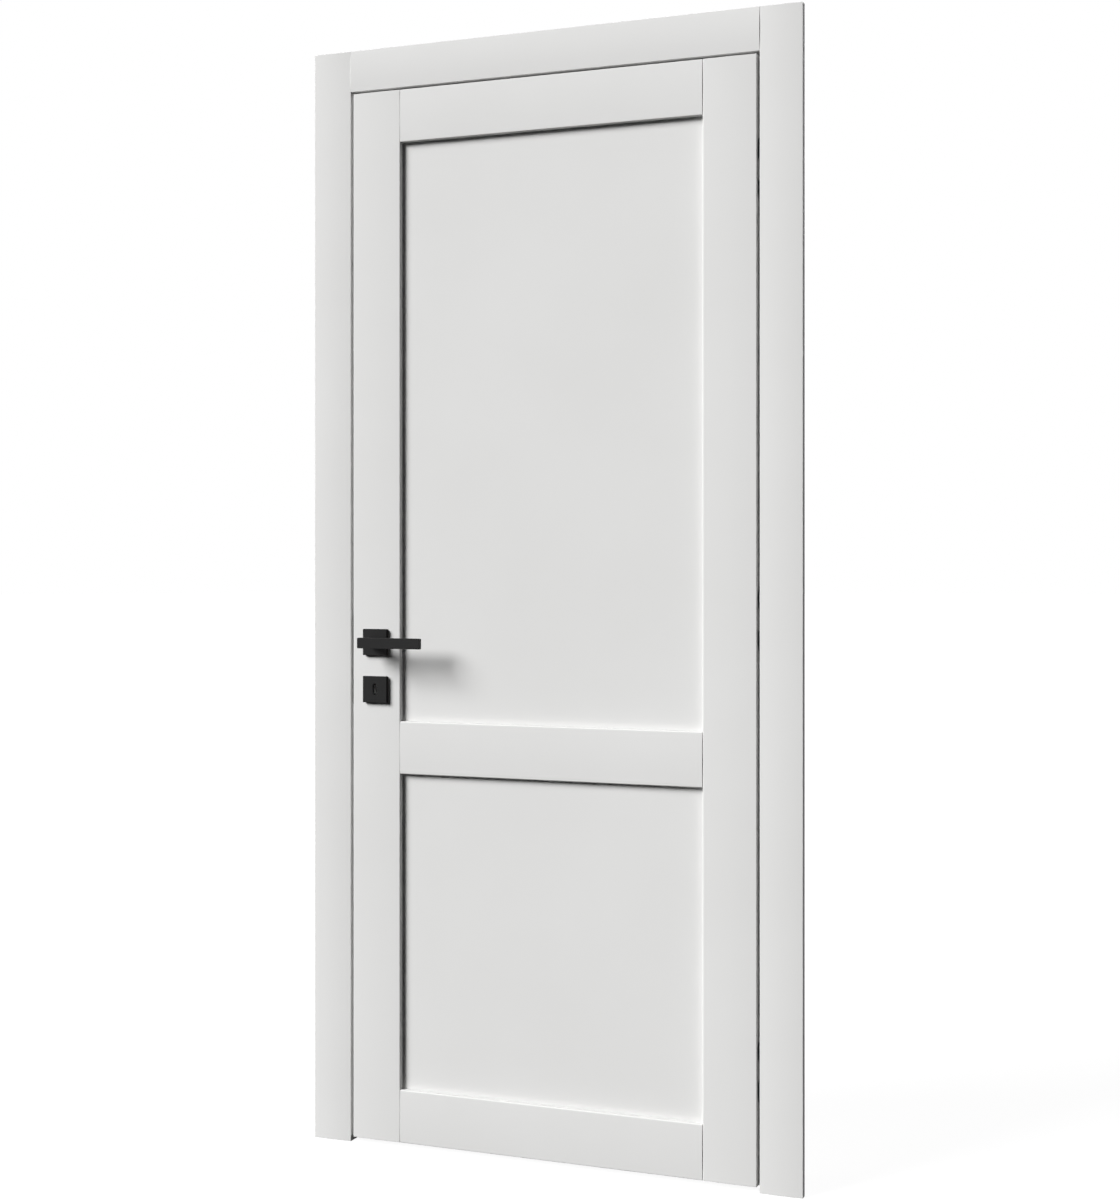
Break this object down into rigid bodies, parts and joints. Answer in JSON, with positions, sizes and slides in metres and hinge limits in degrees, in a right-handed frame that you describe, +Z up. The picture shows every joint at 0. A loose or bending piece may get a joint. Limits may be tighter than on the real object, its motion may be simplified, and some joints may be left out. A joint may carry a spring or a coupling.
{
  "type": "interior door with frame",
  "caption": "White two-panel shaker door in a rebated frame with flat front casing, concealed hinges and a square black lever set with a key rosette.",
  "frame": {"origin": "on the hinge jamb's outer face, at the wall's front face (behind the casing) and the finished floor", "axes": "+X from the lock side to the hinge side and out of the hinge jamb's outer face, +Y from the front to the back, +Z up"},
  "size_m": [0.9673, 0.17, 2.093],
  "materials": {
    "white_lacquer": "satin white lacquer on timber and fibreboard",
    "black_metal": "matt black powder coat",
    "lock_steel": "satin stainless steel",
    "lock_inner": "zinc plated steel",
    "hinge_metal": "satin nickel on cast zinc",
    "seal_rubber": "pale grey soft rubber"
  },
  "bodies": {
    "frame": {"jamb_hinge_side": "white_lacquer", "jamb_lock_side": "white_lacquer", "jamb_head": "white_lacquer", "casing_hinge_side": "white_lacquer", "casing_lock_side": "white_lacquer", "casing_head": "white_lacquer", "seal_hinge_side": "seal_rubber", "seal_lock_side": "seal_rubber", "seal_head": "seal_rubber", "strike_plate": "lock_steel", "hinge_lower_frame_housing": "hinge_metal", "hinge_middle_frame_housing": "hinge_metal", "hinge_upper_frame_housing": "hinge_metal"},
    "leaf": {"stile_hinge_side": "white_lacquer", "stile_lock_side": "white_lacquer", "rail_top": "white_lacquer", "rail_middle": "white_lacquer", "rail_bottom": "white_lacquer", "panel_upper": "white_lacquer", "panel_lower": "white_lacquer", "lock_case": "lock_inner", "lock_forend": "lock_steel", "latch_bolt": "lock_steel", "dead_bolt": "lock_steel", "lever_rosette_front": "black_metal", "lever_rosette_back": "black_metal", "key_rosette_front": "black_metal", "key_rosette_back": "black_metal", "hinge_lower_leaf_housing": "hinge_metal", "hinge_middle_leaf_housing": "hinge_metal", "hinge_upper_leaf_housing": "hinge_metal"},
    "lever": {"lever_front": "black_metal", "lever_back": "black_metal", "spindle": "lock_inner", "lock_follower": "lock_inner"},
    "hinge_links": {"hinge_lower_link": "hinge_metal", "hinge_middle_link": "hinge_metal", "hinge_upper_link": "hinge_metal"}
  },
  "joints": [
    {"name": "leaf_swing", "type": "hinge", "parent": "frame", "child": "leaf", "pos_m": [-0.0425, -0.017, 1.01], "axis": [0, 0, 1], "range_deg": [0, 95]},
    {"name": "link_swing", "type": "hinge", "parent": "frame", "child": "hinge_links", "pos_m": [-0.0425, -0.017, 1.01], "axis": [0, 0, 1], "range_deg": [0, 47.5]},
    {"name": "lever_turn", "type": "hinge", "parent": "leaf", "child": "lever", "pos_m": [-0.795, 0.007, 0.96], "axis": [0, 1, 0], "range_deg": [0, 45], "stiffness_Nm_per_rad": 1.2, "springref_deg": -20.05}
  ],
  "couplings": [
    {"joint": "link_swing", "follows": "leaf_swing", "ratio": 0.5}
  ]
}
